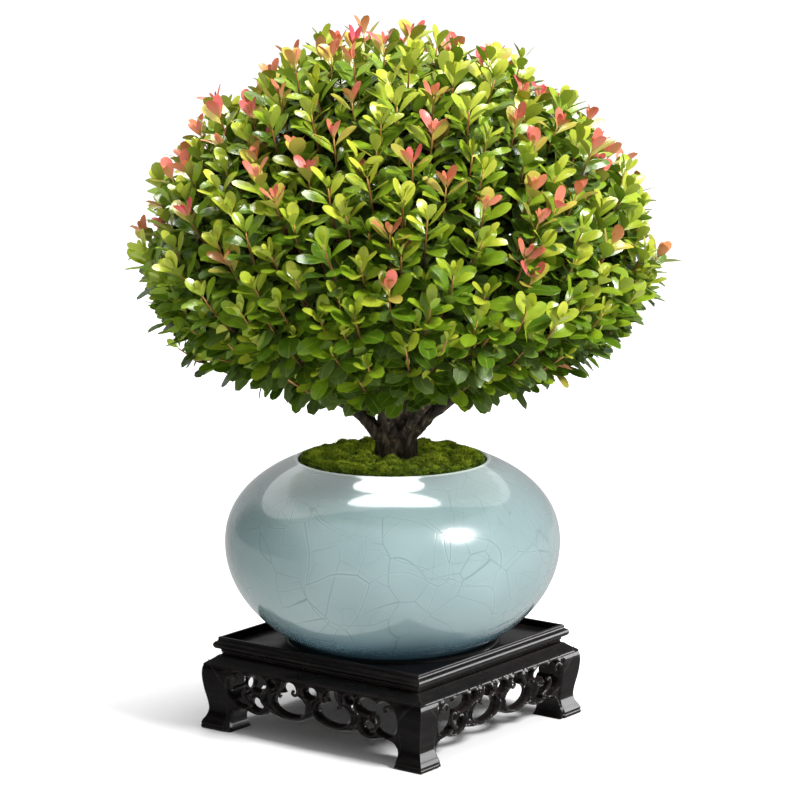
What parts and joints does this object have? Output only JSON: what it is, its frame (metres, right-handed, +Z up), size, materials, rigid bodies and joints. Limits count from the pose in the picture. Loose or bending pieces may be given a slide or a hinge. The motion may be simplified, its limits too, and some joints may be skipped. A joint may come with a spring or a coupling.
{
  "type": "syzygium buxifolium bonsai",
  "caption": "Clipped dome of small glossy leaves with pink tips on a short dark trunk, in a squat globe pot with moss, on a low square carved blackwood stand.",
  "frame": {"origin": "middle of the stand's square footprint, on the surface that its feet stand on", "axes": "+Z up, +X and -Y along two sides of the stand, which meet at its front corner"},
  "size_m": [0.327, 0.328, 0.4335],
  "materials": {
    "blackwood": "oiled and polished, nearly black",
    "celadon": "glossy pale green-blue glaze with fine crackle",
    "earth": "matt potting soil",
    "moss": "matt, fine tufts",
    "bark": "rough, furrowed",
    "foliage": "glossy leaves, pink and orange at the tips"
  },
  "bodies": {
    "root": {"top_rail_front": "blackwood", "top_rail_right": "blackwood", "top_rail_back": "blackwood", "top_rail_left": "blackwood", "tray_panel": "blackwood", "waist_front": "blackwood", "waist_right": "blackwood", "waist_back": "blackwood", "waist_left": "blackwood", "apron_front": "blackwood", "apron_right": "blackwood", "apron_back": "blackwood", "apron_left": "blackwood", "leg_front_right": "blackwood", "leg_back_right": "blackwood", "leg_back_left": "blackwood", "leg_front_left": "blackwood", "pot": "celadon", "soil": "earth", "moss": "moss", "trunk_and_limbs": "bark", "leafy_branch_01": "foliage", "leafy_branch_02": "foliage", "leafy_branch_03": "foliage", "leafy_branch_04": "foliage", "leafy_branch_05": "foliage", "leafy_branch_06": "foliage", "leafy_branch_07": "foliage", "leafy_branch_08": "foliage", "leafy_branch_09": "foliage", "leafy_branch_10": "foliage", "leafy_branch_11": "foliage", "leafy_branch_12": "foliage", "leafy_branch_13": "foliage", "leafy_branch_14": "foliage"}
  },
  "joints": []
}
